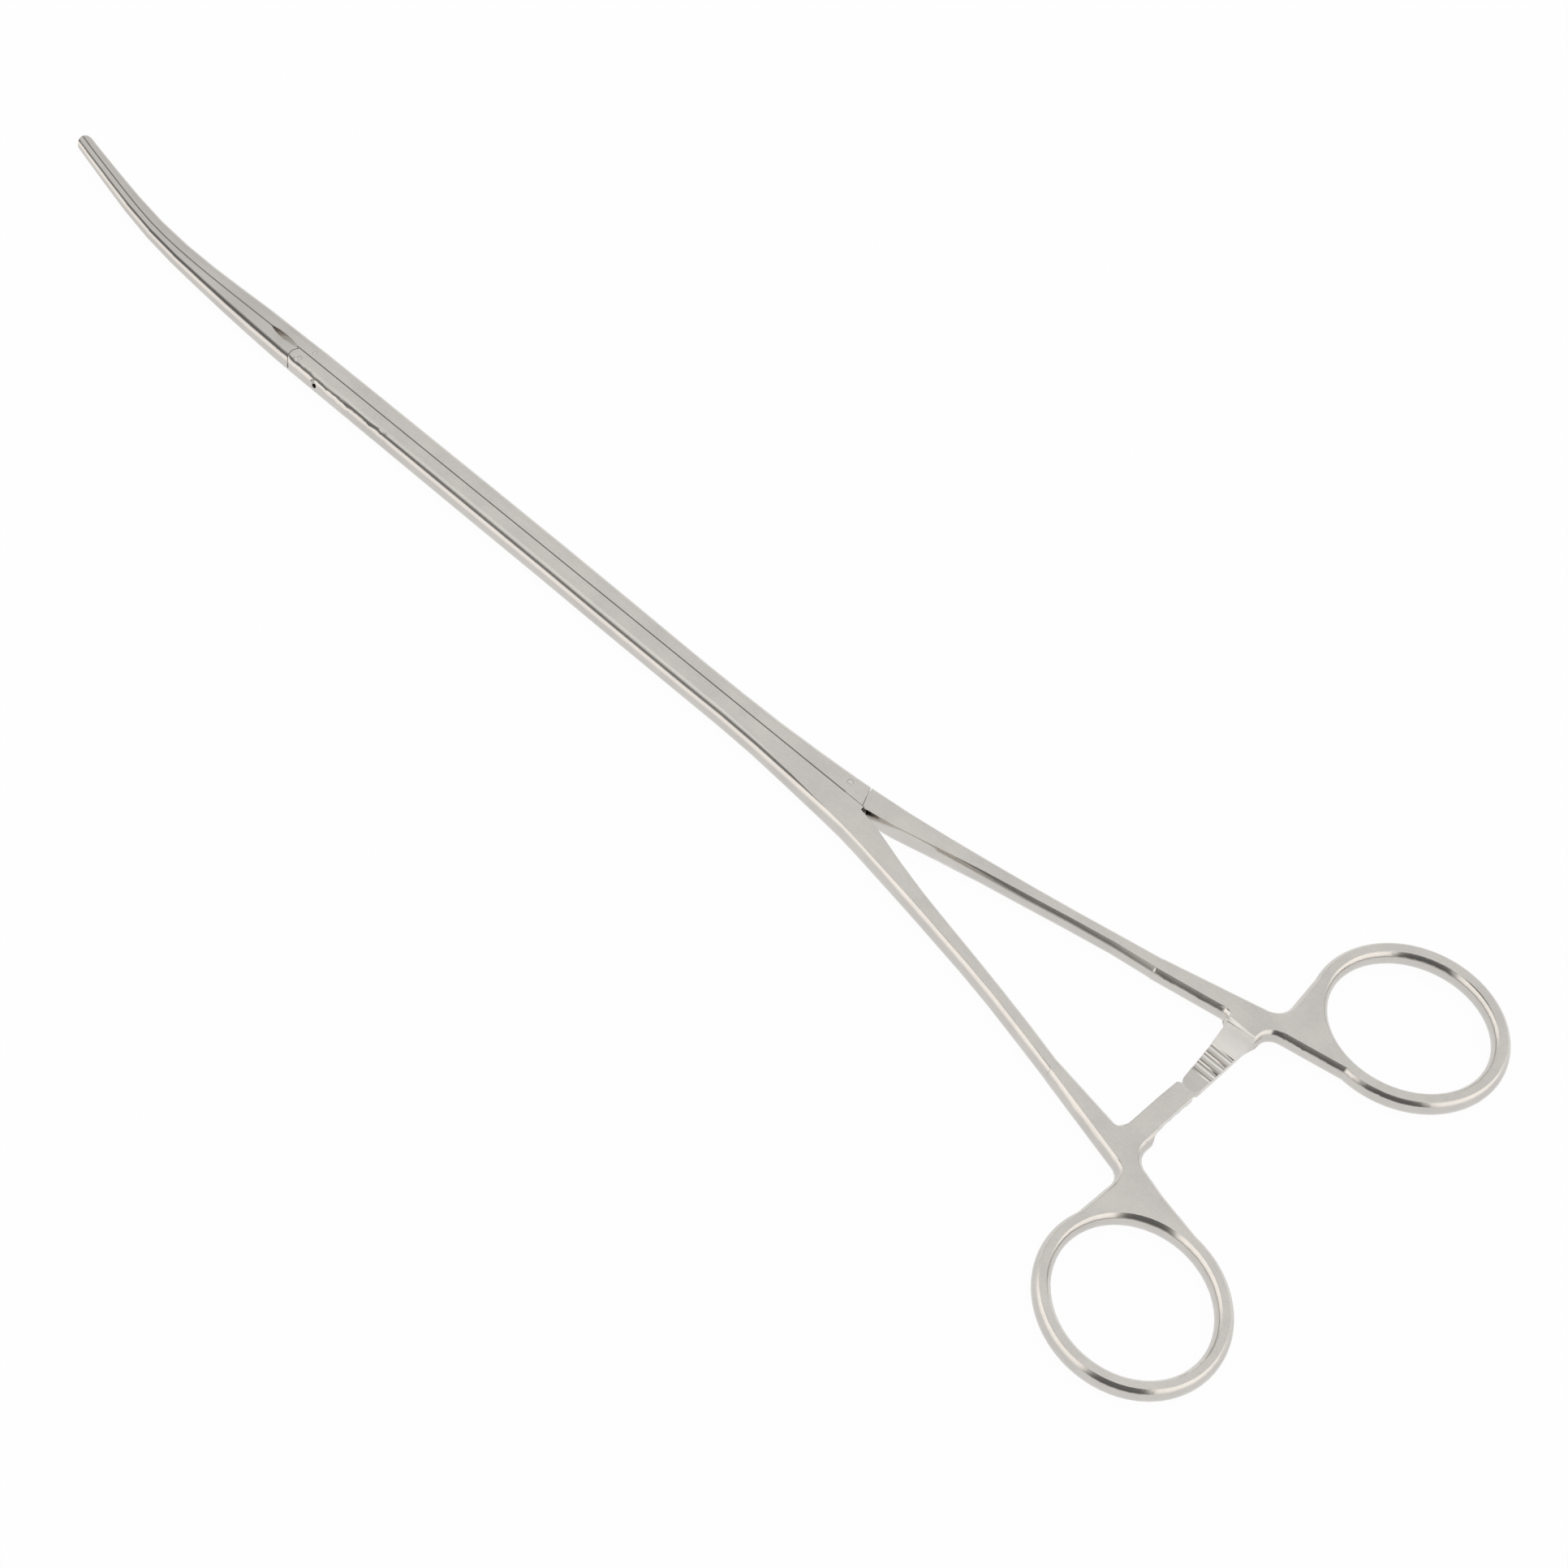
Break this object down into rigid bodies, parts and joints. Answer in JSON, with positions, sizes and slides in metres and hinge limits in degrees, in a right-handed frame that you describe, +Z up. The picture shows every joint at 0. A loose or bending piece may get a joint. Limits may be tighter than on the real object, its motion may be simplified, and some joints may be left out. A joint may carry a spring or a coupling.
{
  "type": "thoracoscopic forceps",
  "caption": "Slim sliding-shaft thoracoscopic forceps with a curved swinging jaw, oval finger rings and a ratchet; opening the ring handle slides one half shaft and swings the jaw.",
  "frame": {"origin": "on the seam plane between the half shafts, abreast of the handle link pin, at the height of the flat underside", "axes": "+X from the jaws to the finger rings along the shaft, +Y across the instrument towards the sliding half and the swinging handle, +Z up out of the flat of the instrument"},
  "size_m": [0.3036, 0.1062, 0.0039],
  "materials": {
    "satin_steel": "satin, fine-blasted stainless steel",
    "pin_steel": "ground flush stainless steel pin ends"
  },
  "bodies": {
    "fixed_body": {"fixed_half": "satin_steel", "jaw_pivot_pin": "pin_steel", "handle_pivot_pin": "pin_steel"},
    "sliding_body": {"sliding_half": "satin_steel", "jaw_link_pin": "pin_steel", "handle_link_pin": "pin_steel"},
    "jaw_body": {"moving_jaw": "satin_steel"},
    "handle_body": {"moving_handle": "satin_steel"}
  },
  "joints": [
    {"name": "handle_hinge", "type": "hinge", "parent": "fixed_body", "child": "handle_body", "pos_m": [-0.00076, -0.0021, 0], "axis": [0, 0, 1], "range_deg": [0, 20]},
    {"name": "shaft_slide", "type": "slide", "parent": "fixed_body", "child": "sliding_body", "axis": [-1, 0, 0], "range_m": [0, 0.00152]},
    {"name": "jaw_hinge", "type": "hinge", "parent": "fixed_body", "child": "jaw_body", "pos_m": [-0.12639, -0.00158, 0], "axis": [0, 0, 1], "range_deg": [0, 30.41]}
  ],
  "couplings": [
    {"joint": "shaft_slide", "follows": "handle_hinge", "m_per_rad": 0.004354},
    {"joint": "jaw_hinge", "follows": "handle_hinge", "ratio": 1.52}
  ]
}
